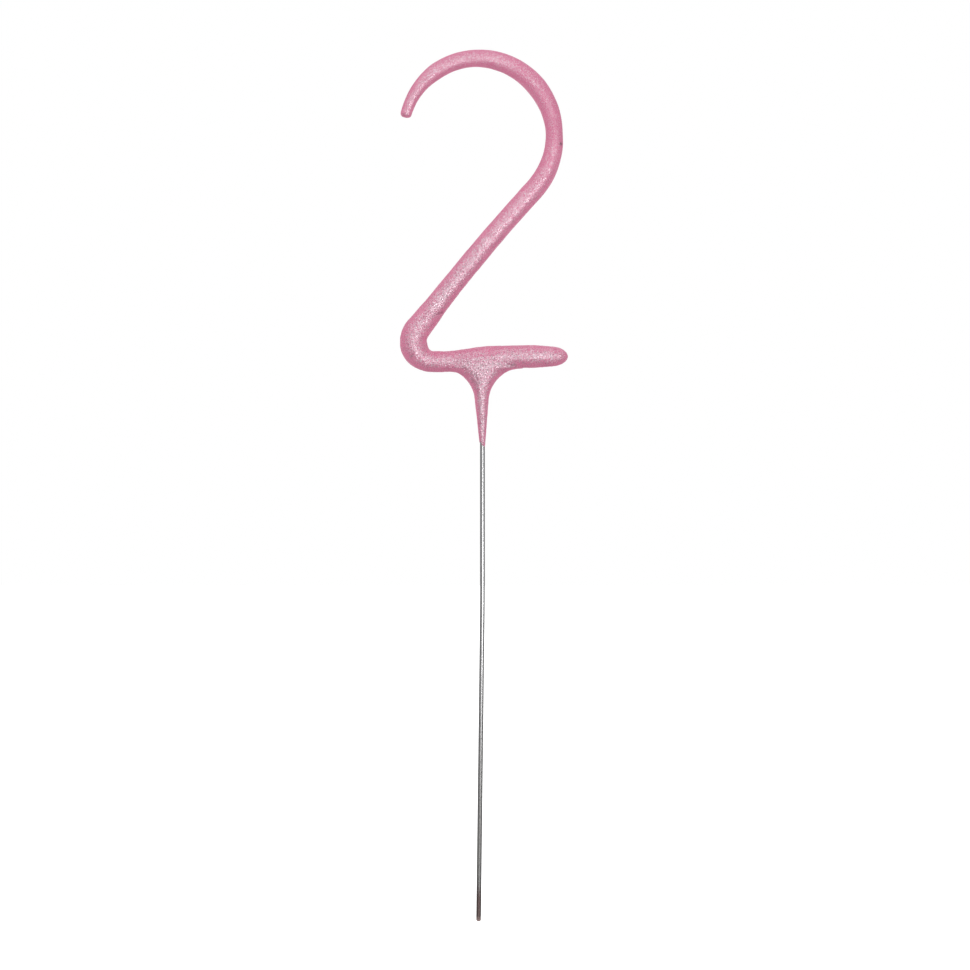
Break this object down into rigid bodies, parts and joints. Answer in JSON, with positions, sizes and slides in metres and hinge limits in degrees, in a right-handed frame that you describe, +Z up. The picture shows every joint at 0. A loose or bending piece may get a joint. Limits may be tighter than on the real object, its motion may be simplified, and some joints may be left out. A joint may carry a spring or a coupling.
{
  "type": "number sparkler",
  "caption": "Hand sparkler bent to the numeral two: a thin steel wire with dipped composition and a pink glitter coat on the numeral, and a bare stem to push into a cake.",
  "frame": {"origin": "lower end of the bare stem, on the axis of its straight lower stretch", "axes": "+Z up, with the numeral upright; +X to the numeral's right as it is read; the numeral reads from the -Y side. The stem's lower stretch leans 0.7 degrees from Z."},
  "size_m": [0.0346, 0.0056, 0.1799],
  "materials": {
    "bright_steel_wire": "bright drawn low-carbon steel wire",
    "weld_steel": "heat-darkened weld metal",
    "sparkler_composition": "dried grey composition with metal grains, matt",
    "pink_glitter_lacquer": "pink pearl lacquer with fine glitter"
  },
  "bodies": {
    "root": {"formed_wire": "bright_steel_wire", "base_bar_wire": "bright_steel_wire", "lap_weld": "weld_steel", "first_dip": "sparkler_composition", "second_dip": "sparkler_composition", "colour_coat": "pink_glitter_lacquer"}
  },
  "joints": []
}
